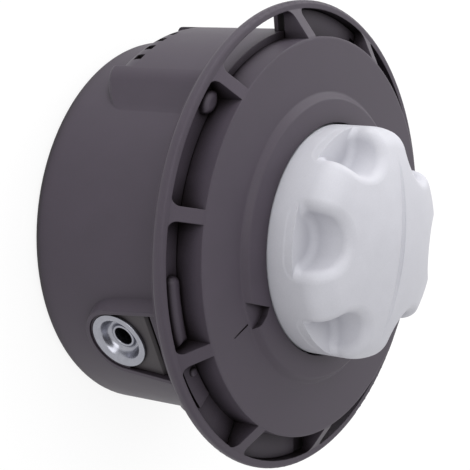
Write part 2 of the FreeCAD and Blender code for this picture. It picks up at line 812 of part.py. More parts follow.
def build_eyelet(side):
    """Turned eyelet: flat flange, hollow bowl and a raised tube in it."""
    body = new_body(f"eyelet_{side + 1}")
    placement = outlet_placement(side)
    placement.Base = FreeCAD.Vector(0, 0, number("eyelet_height"))
    body.Placement = placement
    body.setExpression("Placement.Base.z", bound("eyelet_height"))
    face = "(outlet_plate + eyelet_flange_thickness)"
    bowl_bottom = f"({face} - eyelet_bowl_depth)"
    tube_top = f"({face} - eyelet_tube_depth)"
    collar_top = "(outlet_seat)"
    collar_bottom = "(outlet_seat - eyelet_collar_length)"
    section = [
        ("eyelet_flange", "outlet_plate"),
        ("eyelet_flange", f"({face} - eyelet_flange_thickness / 3)"),
        ("(eyelet_flange - eyelet_flange_thickness / 3)", face),
        ("eyelet_annulus", face, "-eyelet_bowl_curve"),
        ("eyelet_bowl", bowl_bottom),
        ("eyelet_tube", bowl_bottom),
        ("eyelet_tube", f"({tube_top} - eyelet_tube_chamfer)"),
        ("(eyelet_tube - eyelet_tube_chamfer)", tube_top),
        ("(eyelet_bore + eyelet_tube_chamfer)", tube_top),
        ("eyelet_bore", f"({tube_top} - 2 * eyelet_tube_chamfer)"),
        ("eyelet_bore", collar_bottom),
        ("(eyelet_collar - eyelet_collar_length / 2)", collar_bottom),
        ("eyelet_collar", collar_top),
        ("eyelet_stem", collar_top),
        ("eyelet_stem", "outlet_floor"),
        ("eyelet_cup", "outlet_floor"),
        ("eyelet_cup", "outlet_plate"),
    ]
    turned(body, outline(body, "section", "XZ_Plane", section))
    return body


def build_cap():
    """Snap-on cap: rim, ten windows between spokes, domed face, raised ring."""
    body = new_body("cap")
    rim_inside = "(rim_radius - rim_width)"
    ring_outside = "(tooth_ring + tooth_ring_width)"
    edge_inside = f"({CAP_EDGE} - cap_wall)"
    section = [
        (rim_inside, "rim_rear"),
        ("rim_radius", "rim_rear"),
        ("rim_radius", "rim_height"),
        (rim_inside, "rim_height"),
        ("cap_radius", CAP_EDGE),
        ("ring_foot_radius", "(rim_height + ring_foot_rise)"),
        ("ring_radius", "(rim_height + ring_rise)"),
        ("hole_radius", HOLE_TOP),
        ("hole_radius", HOLE_BOTTOM),
        ("tooth_ring", HOLE_BOTTOM),
        ("tooth_ring", CAP_RING_END),
        (ring_outside, CAP_RING_END),
        (ring_outside, HOLE_BOTTOM),
        (CAP_INSIDE, edge_inside),
        (CAP_INSIDE, CAP_BOTTOM),
        (rim_inside, CAP_BOTTOM),
    ]
    turned(body, outline(body, "face", "XZ_Plane", section))
    rounded(body, "edge_round", "cap_edge_round", lambda edge: is_ring(edge, "cap_radius", CAP_EDGE))
    rounded(
        body, "ring_crest_round", "ring_round",
        lambda edge: is_ring(edge, "ring_radius", "(rim_height + ring_rise)")
        or is_ring(edge, "ring_foot_radius", "(rim_height + ring_foot_rise)"),
    )
    rounded(
        body, "rim_back_round", "rim_rear_round",
        lambda edge: is_ring(edge, "rim_radius", "rim_rear"),
    )
    rounded(
        body, "rim_face_round", "rim_front_round",
        lambda edge: is_ring(edge, "rim_radius", "rim_height"),
    )

    # Windows between straight spokes, with round corners at the rim
    half_pitch = "(180 / window_count)"
    half_spoke = "(spoke_width / 2)"

    def from_spoke(along, across, side):
        """Place measured along a spoke and across from its middle line."""
        x = f"{along} * cos({half_pitch}) + {across} * sin({half_pitch})"
        y = f"({along} * sin({half_pitch}) - {across} * cos({half_pitch}))"
        return x, f"{side} * {y}"

    inner = f"sqrt(cap_radius^2 - {half_spoke}^2)"
    round_across = f"({half_spoke} + window_round)"
    round_along = f"sqrt(({rim_inside} - window_round)^2 - {round_across}^2)"
    stretch = f"({rim_inside} / ({rim_inside} - window_round))"
    window_corners = []
    window_corners.append(from_spoke(inner, half_spoke, -1))
    window_corners.append(from_spoke(round_along, half_spoke, -1) + ("window_round",))
    window_corners.append(
        from_spoke(f"{round_along} * {stretch}", f"{round_across} * {stretch}", -1) + (rim_inside,)
    )
    window_corners.append(
        from_spoke(f"{round_along} * {stretch}", f"{round_across} * {stretch}", 1)
        + ("window_round",)
    )
    window_corners.append(from_spoke(round_along, half_spoke, 1))
    window_corners.append(from_spoke(inner, half_spoke, 1) + ("-cap_radius",))
    window = outline(
        body, "window", "XY_Plane", window_corners, height=HOLE_TOP, turn="window_turn"
    )
    window_cut = sunk(body, window, "hole_rise + floor_depth")
    repeated(body, [window_cut], "window_count")

    # Latch tongues that reach down into the shrouds of the housing
    tongue_inside = "(drum_radius + tongue_gap)"
    tongue_outside = f"({tongue_inside} + tongue_thickness)"
    hook_top = "(catch_height - tooth_gap)"
    hook_bottom = f"({hook_top} - tongue_hook_height)"
    tongue = [
        (tongue_inside, hook_bottom),
        (tongue_outside, hook_bottom),
        (f"({tongue_outside} + tongue_hook)", f"({hook_top} - tongue_hook_land)"),
        (f"({tongue_outside} + tongue_hook)", hook_top),
        (tongue_outside, hook_top),
        (tongue_outside, f"({CAP_BOTTOM} + cut_margin)"),
        (tongue_inside, f"({CAP_BOTTOM} + cut_margin)"),
    ]
    tongue_sketch = outline(body, "tongue", "XZ_Plane", tongue, turn="shroud_angle")
    tongue_block = turned(body, tongue_sketch, "tongue_span")
    repeated(body, [tongue_block], "2")

    # Alignment marks towards the outlets: a notch in the ring and a line
    floor = "(rim_height + mark_rise)"
    notch = outline(
        body, "mark_notch", "XY_Plane",
        [
            ("notch_tip", "-notch_tip_side"),
            ("notch_open", "-notch_far_side"),
            ("notch_open", "notch_side"),
            ("notch_knee", "notch_side"),
            ("notch_waist", "notch_side / 2"),
        ],
        height=floor,
    )
    notch_cut = sunk(body, notch, "hole_rise", reversed_side=True)
    line = outline(
        body, "mark_line", "XY_Plane",
        sector("mark_line_inner", "mark_line_outer", "-mark_line_width / 2", "mark_line_width / 2"),
        height="(rim_height + mark_line_floor)",
    )
    line_cut = sunk(body, line, "hole_rise", reversed_side=True)
    repeated(body, [notch_cut, line_cut], "2")
    ratchet(body, "cap_tooth", f"({CAP_RING_END} + tooth_root)", CAP_TOOTH_TIP)
    return body


def build_spool():
    """Two-chamber spool with a line channel through its divider."""
    body = new_body("spool")
    inside = "(core_radius - core_wall)"
    divider_bottom = "(eyelet_height - spool_divider / 2)"
    divider_top = "(eyelet_height + spool_divider / 2)"
    section = [
        (inside, SPOOL_BOTTOM),
        ("spool_radius", SPOOL_BOTTOM),
        ("spool_radius", f"({SPOOL_BOTTOM} + spool_flange)"),
        ("core_radius", f"({SPOOL_BOTTOM} + spool_flange)"),
        ("core_radius", divider_bottom),
        ("spool_radius", divider_bottom),
        ("spool_radius", divider_top),
        ("core_radius", divider_top),
        ("core_radius", f"({SPOOL_TOP} - spool_flange)"),
        ("spool_radius", f"({SPOOL_TOP} - spool_flange)"),
        ("spool_radius", SPOOL_TOP),
        (inside, SPOOL_TOP),
        (inside, "web_top"),
        ("0", "web_top"),
        ("0", "web_bottom"),
        (inside, "web_bottom"),
    ]
    turned(body, outline(body, "reel", "XZ_Plane", section))

    # Line channel with flared ends, in line with the knob's groove
    channel = new_sketch(body, "channel", "YZ_Plane")
    add_circle(channel, "0", "eyelet_height", "channel_radius")
    channel_cut = sunk(body, channel, "2 * (spool_radius + cut_margin)")
    channel_cut.Midplane = True
    flare = outline(
        body, "channel_flare", "XY_Plane",
        [
            ("(spool_radius - channel_flare_length)", "0"),
            ("(spool_radius + cut_margin)", "0"),
            ("(spool_radius + cut_margin)", "channel_flare"),
            ("(spool_radius - channel_flare_length)", "channel_radius"),
        ],
        height="eyelet_height",
    )
    flare_cut = body.newObject("PartDesign::Groove", "channel_flare_turned")
    flare_cut.Profile = flare
    flare_cut.ReferenceAxis = (flare, ["H_Axis"])
    flare_cut.Angle = 360
    repeated(body, [flare_cut], "2")

    # Screw holes with sunk heads in the web
    hole = new_sketch(body, "screw_hole", "XY_Plane", height="web_top", turn="90")
    add_circle(hole, "screw_centre", "0", "(screw_radius + screw_gap)")
    hole_cut = sunk(body, hole, "web_top - web_bottom")
    head = new_sketch(body, "screw_seat", "XY_Plane", height="web_bottom", turn="90")
    add_circle(head, "screw_centre", "0", "(screw_head_radius + screw_head_gap)")
    head_cut = sunk(body, head, "screw_head_height + screw_head_sink", reversed_side=True)
    repeated(body, [hole_cut, head_cut], "screw_count")
    ratchet(body, "top_tooth", f"({SPOOL_TOP} - tooth_root)", TOOTH_TOP)
    ratchet(body, "bottom_tooth", f"({SPOOL_BOTTOM} + tooth_root)", f"({SPOOL_BOTTOM} - tooth_height)")
    set_turn(body, "groove_turn")
    return body


def add_axis(sketch, start, end):
    """Construction line that a swept cut turns about."""
    ends = [FreeCAD.Vector(number(x), number(y), 0) for x, y in (start, end)]
    line = sketch.addGeometry(Part.LineSegment(*ends), True)
    for which, (x, y) in enumerate((start, end), start=1):
        fix(sketch, "DistanceX", line, which, x)
        fix(sketch, "DistanceY", line, which, y)


def swept_cut(body, sketch, span):
    """Cut by a sketch turned about its own construction line."""
    cut = body.newObject("PartDesign::Groove", f"{sketch.Name}_swept")
    cut.Profile = sketch
    cut.ReferenceAxis = (sketch, ["Axis0"])
    cut.setExpression("Angle", f"({bound(span)}) * 1 deg")
    return cut


def set_turn(body, angle):
    """Turn a finished body about +Z."""
    body.Placement = FreeCAD.Placement(
        FreeCAD.Vector(), FreeCAD.Rotation(Z_AXIS, number(angle))
    )
    body.setExpression("Placement.Rotation.Angle", f"({bound(angle)}) * 1 deg")


def build_knob():
    """Bump knob: domed crown with six finger scallops and a groove across."""
    body = new_body("knob")
    skirt_inside = "(knob_radius - knob_wall)"
    ceiling = "(scallop_floor - knob_wall)"
    crown_edge = "(knob_top - knob_crown + sqrt(knob_crown^2 - knob_radius^2))"
    section = [
        ("0", "(knob_top - 2 * knob_wall)"),
        (STEM_INSIDE, "(knob_top - 2 * knob_wall)"),
        (STEM_INSIDE, "web_top"),
        (STEM_RADIUS, "web_top"),
        (STEM_RADIUS, ceiling),
        (skirt_inside, ceiling),
        (skirt_inside, KNOB_FLANGE_BOTTOM),
        ("knob_flange_radius", KNOB_FLANGE_BOTTOM),
        ("knob_flange_radius", KNOB_FLANGE_TOP),
        ("knob_radius", KNOB_FLANGE_TOP),
        ("knob_radius", crown_edge, "knob_crown"),
        ("0", "knob_top"),
    ]
    turned(body, outline(body, "crown", "XZ_Plane", section))
    rounded(
        body, "crown_round", "knob_round", lambda edge: is_ring(edge, "knob_radius", crown_edge)
    )

    # Finger scallops: round bowls with a coved floor, soft brims and a sharp sill
    far_wall = "(scallop_centre - scallop_radius)"
    clear_top = "(knob_top + cut_margin)"
    bowl = outline(
        body, "scallop", "XZ_Plane",
        [
            ("scallop_centre", "scallop_floor"),
            (f"({far_wall} + scallop_cove)", "scallop_floor", "-scallop_cove"),
            (far_wall, "(scallop_floor + scallop_cove)"),
            (far_wall, clear_top),
            ("scallop_centre", clear_top),
        ],
        turn="scallop_turn - groove_turn",
    )
    add_axis(bowl, ("scallop_centre", "scallop_floor"), ("scallop_centre", clear_top))
    bowl_cut = swept_cut(body, bowl, "360")
    repeated(body, [bowl_cut], "scallop_count")

    def is_brim(edge):
        middle = middle_of(edge)
        on_skirt = near(math.hypot(middle.x, middle.y), number("knob_radius"))
        from_floor = near(edge.BoundBox.ZMin, number("scallop_floor"))
        return on_skirt and from_floor and edge.BoundBox.ZLength > number("scallop_cove / 2")

    rounded(body, "scallop_brim", "scallop_round", is_brim)
    sill_edge = "(knob_radius - scallop_sill_inset)"
    sill = sector("(knob_radius - scallop_sill)", sill_edge, ceiling, "scallop_floor")
    turned(body, outline(body, "sill", "XZ_Plane", sill))

    # Screw posts inside the stem
    post = new_sketch(body, "post", "XY_Plane", height="web_top", turn="90")
    add_circle(post, "screw_centre", "0", "(screw_radius + post_wall)")
    post_block = raised(body, post, "knob_top - 2 * knob_wall - web_top")
    pilot = new_sketch(body, "pilot", "XY_Plane", height="web_top", turn="90")
    add_circle(pilot, "screw_centre", "0", "(screw_radius + screw_gap)")
    pilot_cut = sunk(body, pilot, "screw_length + screw_tip_gap", reversed_side=True)
    repeated(body, [post_block, pilot_cut], "screw_count")

    # Alignment groove, swept across the crown and running out at both ends
    groove = new_sketch(body, "groove", "XZ_Plane", turn="90")
    tube_height = "(knob_top - groove_depth + groove_radius)"
    add_circle(groove, "0", tube_height, "groove_radius")
    axis_height = f"({tube_height} - groove_sweep)"
    add_axis(groove, ("-core_radius", axis_height), ("core_radius", axis_height))
    groove_cut = swept_cut(body, groove, "groove_span")
    groove_cut.Midplane = True
    set_turn(body, "groove_turn")
    return body


def build_screws():
    """Three self-tapping screws from under the web into the knob's posts."""
    body = new_body("knob_screws")
    bottom = "(web_bottom + screw_head_sink)"
    head_top = f"({bottom} + screw_head_height)"
    tip = "(web_top + screw_length)"
    head = new_sketch(body, "head", "XY_Plane", height=bottom, turn="90")
    add_circle(head, "screw_centre", "0", "screw_head_radius")
    head_block = raised(body, head, "screw_head_height")
    shank = new_sketch(body, "shank", "XY_Plane", height=head_top, turn="90")
    add_circle(shank, "screw_centre", "0", "screw_radius")
    shank_block = raised(body, shank, f"{tip} - {head_top}")
    recess = new_sketch(body, "recess", "XY_Plane", height=bottom, turn="90")
    add_circle(recess, "screw_centre", "0", "screw_recess")
    recess_cut = sunk(body, recess, "screw_head_height / 2", reversed_side=True)
    repeated(body, [head_block, shank_block, recess_cut], "screw_count")
    set_turn(body, "groove_turn")
    return body


def build_washer(name, height):
    body = new_body(name)
    section = sector("washer_bore", "washer_radius", height, f"({height} + washer_thickness)")
    turned(body, outline(body, "section", "XZ_Plane", section))
    return body


def build_spring():
    """Compression spring round the hub, between its two washers."""
    bottom = "(back_wall + washer_thickness + spring_gap + spring_wire)"
    top = "(web_bottom - washer_gap - washer_thickness - spring_gap - spring_wire)"
    length = f"({top} - {bottom})"
    helix = document.addObject("Part::Helix", "spring_helix")
    helix.setExpression("Radius", bound("spring_radius"))
    helix.setExpression("Height", bound(length))
    helix.setExpression("Pitch", bound(f"{length} / spring_turns"))
    helix.setExpression("Placement.Base.z", bound(bottom))
    wire = document.addObject("Part::Circle", "spring_section")
    wire.setExpression("Radius", bound("spring_wire"))
    wire.Placement = FreeCAD.Placement(
        FreeCAD.Vector(), FreeCAD.Rotation(X_AXIS, 90)
    )
    wire.setExpression("Placement.Base.x", bound("spring_radius"))
    wire.setExpression("Placement.Base.z", bound(bottom))
    coil = document.addObject("Part::Sweep", "spring_coil")
    coil.Sections = [wire]
    coil.Spine = (helix, [])
    coil.Solid = True
    coil.Frenet = True
    coil.Label = "spring"
    return coil


pieces = [
    build_housing(),
    build_bush(),
    build_insert(0),
    build_insert(1),
    build_eyelet(0),
    build_eyelet(1),
    build_cap(),
    build_washer("spring_base", "back_wall"),
    build_spring(),
    build_washer("spring_seat", "(web_bottom - washer_gap - washer_thickness)"),
    build_spool(),
    build_knob(),
    build_screws(),
]
document.recompute()

failed = [
    item.Label for item in document.Objects if "Invalid" in item.State or "Error" in item.State
]
if failed:
    raise RuntimeError(f"Could not be built: {failed}")
for piece in pieces:
    if piece.Shape.isNull() or not piece.Shape.isValid():
        raise RuntimeError(f"{piece.Label} has no valid shape")

os.makedirs("parts", exist_ok=True)
for piece in pieces:
    piece.Shape.exportStep(f"parts/{piece.Label}.step")
    solids = len(piece.Shape.Solids)
    print(f"{piece.Label}: {solids} solid(s), {piece.Shape.Volume:.0f} mm3")
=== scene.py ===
import math

import bmesh
import bpy
from mathutils import Matrix, Vector
from mathutils.geometry import interpolate_bezier


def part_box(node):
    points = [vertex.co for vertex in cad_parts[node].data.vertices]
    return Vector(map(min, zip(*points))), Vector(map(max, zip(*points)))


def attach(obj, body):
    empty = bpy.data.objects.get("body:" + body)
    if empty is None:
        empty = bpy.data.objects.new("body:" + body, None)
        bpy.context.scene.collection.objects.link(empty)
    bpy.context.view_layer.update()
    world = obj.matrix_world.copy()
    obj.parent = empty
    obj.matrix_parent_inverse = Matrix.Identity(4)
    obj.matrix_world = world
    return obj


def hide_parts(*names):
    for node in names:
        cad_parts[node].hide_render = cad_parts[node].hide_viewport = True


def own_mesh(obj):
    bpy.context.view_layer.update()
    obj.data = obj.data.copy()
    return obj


# Bump feed trimmer head, dressed over its CAD frame. Metres, +Z up the spin
# axis, the drum's flat back on the floor and the bump knob on top.

MM = 0.001

# Drive thread, M10 x 1.25, in millimetres: its pitch, and its largest and
# smallest radius, with a hair over the nominal at the root
THREAD_PITCH = 1.25
THREAD_ROOT = 5.02
THREAD_CREST = 4.36

# How high over the drum's back the eyelets sit
EYELET_HEIGHT = 27.6 * MM

# Moulded nylon: how far apart its cloudy patches lie, and how far round a spot
# the ambient occlusion reaches that paints shade into its pockets
FIBRE_CLOUD = 9 * MM
SHADE_REACH = 9 * MM

# A wave texture runs through this many radians over its own unit of length
WAVE_RATE = 20
WHITE = (1, 1, 1, 1)


def linear(hex_colour):
    """Linear RGBA of an sRGB colour written as six hex digits."""
    parts = [int(hex_colour[index:index + 2], 16) / 255 for index in (0, 2, 4)]
    bent = [p / 12.92 if p <= 0.04045 else ((p + 0.055) / 1.055) ** 2.4 for p in parts]
    return (*bent, 1.0)


def add(tree, kind, inputs=None, **settings):
    """Add a node with its settings. An input is a plain value or another node's output."""
    made = tree.nodes.new(kind)
    for name, value in settings.items():
        setattr(made, name, value)
    for socket, source in (inputs or {}).items():
        if isinstance(source, bpy.types.NodeSocket):
            tree.links.new(source, made.inputs[socket])
        else:
            made.inputs[socket].default_value = source
    return made


def new_material(name):
    """Empty node material with its output and the piece's own coordinates."""
    material = bpy.data.materials.new(name)
    material.use_nodes = True
    tree = material.node_tree
    tree.nodes.clear()
    output = add(tree, "ShaderNodeOutputMaterial")
    place = add(tree, "ShaderNodeTexCoord").outputs["Object"]
    return material, tree, output, place


# Materials


def fine_relief(tree, height, strength, depth_mm, edge_mm):
    """Normal of a surface with rounded edges and a fine pattern pressed in."""
    edge = add(tree, "ShaderNodeBevel", {"Radius": edge_mm * MM}, samples=6)
    relief = add(tree, "ShaderNodeBump", {
        "Strength": strength, "Distance": depth_mm * MM, "Height": height,
        "Normal": edge.outputs["Normal"]})
    return relief.outputs["Normal"]


def moulded_nylon(name, dark, light, painted_shade, roughness, grain_mm, edge_mm):
    """Glass-filled nylon from a spark-eroded mould: a fine even grain that
    takes the shine off, a faint cloudiness from the glass fibre, and edges that
    the mould leaves slightly round, so that they catch the light. Deep pockets
    get painted shade: where ambient occlusion finds them shut in, their colour darkens and
    their shine drops.
    The real grain is about 0.1 mm and is drawn coarser, so that it shows."""
    material, tree, output, place = new_material(name)
    cloud = add(tree, "ShaderNodeTexNoise", {
        "Vector": place, "Scale": 1 / FIBRE_CLOUD, "Detail": 4.0, "Roughness": 0.6})
    grain = add(tree, "ShaderNodeTexNoise", {
        "Vector": place, "Scale": 1 / (grain_mm * MM), "Detail": 2.0, "Roughness": 0.5})
    blotch = add(tree, "ShaderNodeMapRange", {
        "Value": cloud.outputs["Fac"], "From Min": 0.3, "From Max": 0.7})
    speck = add(tree, "ShaderNodeMapRange", {
        "Value": grain.outputs["Fac"], "From Min": 0.3, "From Max": 0.7})
    share = add(tree, "ShaderNodeMath", {
        0: blotch.outputs["Result"], 1: speck.outputs["Result"]}, operation="ADD")
    half = add(tree, "ShaderNodeMath", {0: share.outputs[0], 1: 0.5}, operation="MULTIPLY")
    colour = add(tree, "ShaderNodeMix", {
        "Factor": half.outputs[0], 6: linear(dark), 7: linear(light)}, data_type="RGBA")
    # Painted shade: ambient occlusion blends the colour towards the painted shade colour in
    # pockets and corners
    occlusion = add(tree, "ShaderNodeAmbientOcclusion", {"Distance": SHADE_REACH}, samples=8)
    unshaded_share = add(tree, "ShaderNodeMapRange", {
        "Value": occlusion.outputs["AO"], "From Min": 0.28, "From Max": 0.80})
    colour_with_shade = add(tree, "ShaderNodeMix", {
        "Factor": unshaded_share.outputs["Result"], 6: linear(painted_shade), 7: colour.outputs[2]},
        data_type="RGBA")
    # Painted shade in the reflections too: the specular level drops in the same shut-in
    # pockets
    shade_dimmed_shine = add(tree, "ShaderNodeMapRange", {
        "Value": unshaded_share.outputs["Result"], "To Min": 0.06, "To Max": 0.24})
    rough = add(tree, "ShaderNodeMapRange", {
        "Value": half.outputs[0], "To Min": roughness - 0.04, "To Max": roughness + 0.05})
    shader = add(tree, "ShaderNodeBsdfPrincipled", {
        "Base Color": colour_with_shade.outputs[2], "Roughness": rough.outputs["Result"],
        "Specular IOR Level": shade_dimmed_shine.outputs["Result"], "IOR": 1.53,
        "Normal": fine_relief(
            tree, grain.outputs["Fac"], strength=0.12, depth_mm=0.03, edge_mm=edge_mm)})
    tree.links.new(shader.outputs[0], output.inputs["Surface"])
    return material


def turned_metal(name, dark, light, roughness, ring_mm, axis, centre):
    """Bright metal with the fine rings that a lathe leaves round its axis,
    tumbled nearly smooth, which draw the reflections out. The real rings are
    about 0.1 mm apart and are drawn coarser, so that they show."""
    material, tree, output, place = new_material(name)
    moved = add(tree, "ShaderNodeMapping", {
        "Vector": place, "Location": [-value for value in centre]})
    rings = add(tree, "ShaderNodeTexWave", {
        "Vector": moved.outputs[0], "Scale": math.tau / WAVE_RATE / (ring_mm * MM),
        "Distortion": 0.6, "Detail": 2.0}, wave_type="RINGS", rings_direction=axis)
    haze = add(tree, "ShaderNodeTexNoise", {
        "Vector": moved.outputs[0], "Scale": 1 / (1.5 * MM), "Detail": 3.0})
    colour = add(tree, "ShaderNodeMix", {
        "Factor": haze.outputs["Fac"], 6: linear(dark), 7: linear(light)}, data_type="RGBA")
    rough = add(tree, "ShaderNodeMapRange", {
        "Value": haze.outputs["Fac"], "To Min": roughness - 0.05, "To Max": roughness + 0.07})
    shader = add(tree, "ShaderNodeBsdfPrincipled", {
        "Base Color": colour.outputs[2], "Metallic": 1.0,
        "Roughness": rough.outputs["Result"],
        "Normal": fine_relief(
            tree, rings.outputs["Fac"], strength=0.08, depth_mm=0.02, edge_mm=0.12)})
    tree.links.new(shader.outputs[0], output.inputs["Surface"])
    return material


def plainly_seen(tree, share):
    """Share of plain white for what the camera, a reflection or a clear
    surface sees, and none for the light that falls on the object."""
    ray = add(tree, "ShaderNodeLightPath")
    seen = add(tree, "ShaderNodeMath", {
        0: ray.outputs["Is Camera Ray"], 1: ray.outputs["Is Glossy Ray"]}, operation="ADD")
    passed = add(tree, "ShaderNodeMath", {
        0: seen.outputs[0], 1: ray.outputs["Is Transmission Ray"]}, operation="ADD")
    return add(tree, "ShaderNodeMath", {
        0: passed.outputs[0], 1: share}, operation="MULTIPLY", use_clamp=True).outputs[0]


def studio_floor():
    """Plain white paper sweep: it shows as white and keeps a soft shadow,
    because a fifth of what is seen is the lit paper itself."""
    material, tree, output, place = new_material("white_paper_floor")
    tooth = add(tree, "ShaderNodeTexNoise", {"Vector": place, "Scale": 1 / (2 * MM)})
    relief = add(tree, "ShaderNodeBump", {
        "Strength": 0.05, "Distance": 0.05 * MM, "Height": tooth.outputs["Fac"]})
    paper = add(tree, "ShaderNodeBsdfDiffuse", {
        "Color": linear("F4F4F4"), "Normal": relief.outputs["Normal"]})
    glow = add(tree, "ShaderNodeEmission", {"Color": WHITE, "Strength": 1.06})
    mixed = add(tree, "ShaderNodeMixShader", {
        0: plainly_seen(tree, 0.80), 1: paper.outputs[0], 2: glow.outputs[0]})
    tree.links.new(mixed.outputs[0], output.inputs["Surface"])
    return material


# Pieces


def new_piece(name, mesh, body, material):
    """Put a finished mesh into the scene, riding on a body."""
    piece = bpy.data.objects.new(name, mesh)
    bpy.context.scene.collection.objects.link(piece)
    mesh.materials.clear()
    mesh.materials.append(material)
    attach(piece, body)
    return piece


def smooth(mesh, edge_degrees):
    """Shade a mesh smooth, but for the edges that bend more than that."""
    mesh.shade_smooth()
    mesh.set_sharp_from_angle(angle=math.radians(edge_degrees))
    return mesh


def finished_mesh(name, made):
    """Plain mesh of a bmesh, faces outwards and smooth but for its real edges."""
    bmesh.ops.recalc_face_normals(made, faces=made.faces)
    mesh = bpy.data.meshes.new(name)
    made.to_mesh(mesh)
    made.free()
    return smooth(mesh, 25)


def lathe(name, profile, flats=None, corners=None):
    """Closed section of (radius, height) turned round Z, in millimetres. A
    radius of None makes a ring of a hexagon, given by half the width across
    its flats and by the radius that its corners are turned down to."""
    steps = 96
    made = bmesh.new()
    rings = []
    for radius, height in profile:
        ring = []
        for step in range(steps):
            angle = math.tau * step / steps
            off_flat = angle % (math.tau / 6) - math.tau / 12
            reach = radius or min(flats / math.cos(off_flat), corners)
            ring.append(made.verts.new((
                reach * math.cos(angle) * MM, reach * math.sin(angle) * MM, height * MM)))
        rings.append(ring)
    for lower, upper in zip(rings, rings[1:] + rings[:1]):
        for step in range(steps):
            after = (step + 1) % steps
            made.faces.new((lower[step], lower[after], upper[after], upper[step]))
    return finished_mesh(name, made)


def curved(start, lead, trail, end):
    """Section points along a smooth curve, without its last."""
    return [tuple(point) for point in interpolate_bezier(
        Vector(start), Vector(lead), Vector(trail), Vector(end), 10)][:-1]


def bush_body():
    """Steel bush, standing on its shank: a hexagon head with turned corners,
    and a bore at the thread's root with a chamfer at each mouth."""
    shank, head, length = 7.0, 7.0, 17.0
    mouth, chamfer = 5.5, 0.6
    return lathe("threaded_bush_body", [
        (shank - 0.4, 0.0), (shank, 0.4), (shank, head),
        (None, head), (None, length - 0.7), (7.3, length),
        (mouth, length), (THREAD_ROOT, length - chamfer),
        (THREAD_ROOT, chamfer), (mouth, 0.0)],
        flats=7.5, corners=8.2)


def facing_out(node):
    """Turn and shift from Z onto an eyelet's own axis, to its outer face."""
    lowest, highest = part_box(node)
    face = max(highest.x, -lowest.x)
    outward = Matrix.Translation((face, 0, (lowest.z + highest.z) / 2)) @ Matrix.Rotation(
        math.pi / 2, 4, "Y")
    half_turn = 0.0 if highest.x + lowest.x > 0 else math.pi
    return Matrix.Rotation(half_turn, 4, "Z") @ outward


def eyelet_mesh(node):
    """Line eyelet: flat flange with a rolled edge, a horn-shaped bowl and a
    round-lipped tube standing in it. Heights run out from the flange's face."""
    flange, flange_back = 8.4, -1.0
    collar, collar_back = 6.8, -4.3
    bowl_rim, bowl_foot, bowl_floor = 6.9, 4.2, -3.3
    tube, bore, lip, lip_crown = 3.5, 2.65, -2.6, -2.07
    neck, foot, foot_top, foot_end = 4.6, 5.25, -6.9, -7.8
    mesh = lathe(f"{node}_turned", [
        (collar, collar_back), (collar, flange_back),
        (flange - 0.1, flange_back), (flange, flange_back + 0.1),
        *curved((flange, -0.4), (flange, -0.12), (flange - 0.12, 0.0), (flange - 0.4, 0.0)),
        (flange - 0.4, 0.0), (bowl_rim + 0.5, -0.02),
        *curved((bowl_rim, -0.04), (5.6, -0.2), (5.7, bowl_floor), (bowl_foot, bowl_floor)),
        *curved((bowl_foot, bowl_floor), (3.6, bowl_floor), (tube, -3.0), (tube, lip)),
        *curved((tube, lip), (tube, lip_crown), (bore, lip_crown), (bore, lip)),
        (bore, lip), (bore, foot_end), (foot, foot_end),
        (foot + 0.45, foot_top), (neck, foot_top), (neck, collar_back)])
    mesh.transform(facing_out(node))
    return mesh


def sectors(name, blocks):
    """Blocks bent round Z: inner and outer radius, bottom and top in
    millimetres, then where each starts and how far it runs in degrees."""
    step_degrees = 3
    made = bmesh.new()
    for inner, outer, bottom, top, start, span in blocks:
        steps = math.ceil(span / step_degrees)
        rings = []
        for step in range(steps + 1):
            angle = math.radians(start + span * step / steps)
            rings.append([made.verts.new((
                radius * math.cos(angle) * MM, radius * math.sin(angle) * MM, height * MM))
                for radius, height in (
                    (inner, bottom), (outer, bottom), (outer, top), (inner, top))])
        for before, after in zip(rings, rings[1:]):
            for corner in range(4):
                follow = (corner + 1) % 4
                made.faces.new((before[corner], before[follow], after[follow], after[corner]))
        made.faces.new(rings[0])
        made.faces.new(rings[-1])
    return finished_mesh(name, made)


def flange_edge():
    """Edge of the housing's flange: a thin lip that laps behind the cap's rim,
    and the corners closed between the flange and each latch shroud's flank."""
    edge = 63.4
    lip = (61.8, edge, 49.7, 50.3)
    corner = (55.8, edge, 48.9, 50.2)
    blocks = []
    for half_turn in (0, 180):
        blocks.append((*lip, 103.4 + half_turn, 140))
        blocks.append((*corner, 63 + half_turn, 9))
    return sectors("flange_edge", blocks)


def outlet_seat(node):
    """Rounded end of the outlet's pocket, where the boss comes up close round
    the eyelet's flange. It runs a little past half a turn."""
    inner, outer, bottom, top = 8.48, 9.02, -1.0, -0.2
    mesh = sectors(f"{node}_seat", [(inner, outer, bottom, top, -95, 190)])
    mesh.transform(facing_out(node))
    return mesh


def ridge_section(tree, given):
    """Thread ridge in four corners: its foot on the root, its crest inwards."""
    corners = []
    for depth, half_width, way in (
            (None, "Half Foot", -1.0), ("Depth", "Half Crest", -1.0),
            ("Depth", "Half Crest", 1.0), (None, "Half Foot", 1.0)):
        across = add(tree, "ShaderNodeMath", {
            0: given[half_width], 1: way}, operation="MULTIPLY").outputs[0]
        corner = {"Y": across}
        if depth:
            corner["X"] = given[depth]
        corners.append(add(tree, "ShaderNodeCombineXYZ", corner).outputs[0])
    return add(tree, "GeometryNodeCurvePrimitiveQuadrilateral", {
        f"Point {number}": corner for number, corner in enumerate(corners, start=1)},
        mode="POINTS").outputs["Curve"]


def wire_section(tree, given):
    """Section of the spring's round wire."""
    return add(tree, "GeometryNodeCurvePrimitiveCircle", {
        "Resolution": 14, "Radius": given["Wire Radius"]}).outputs["Curve"]


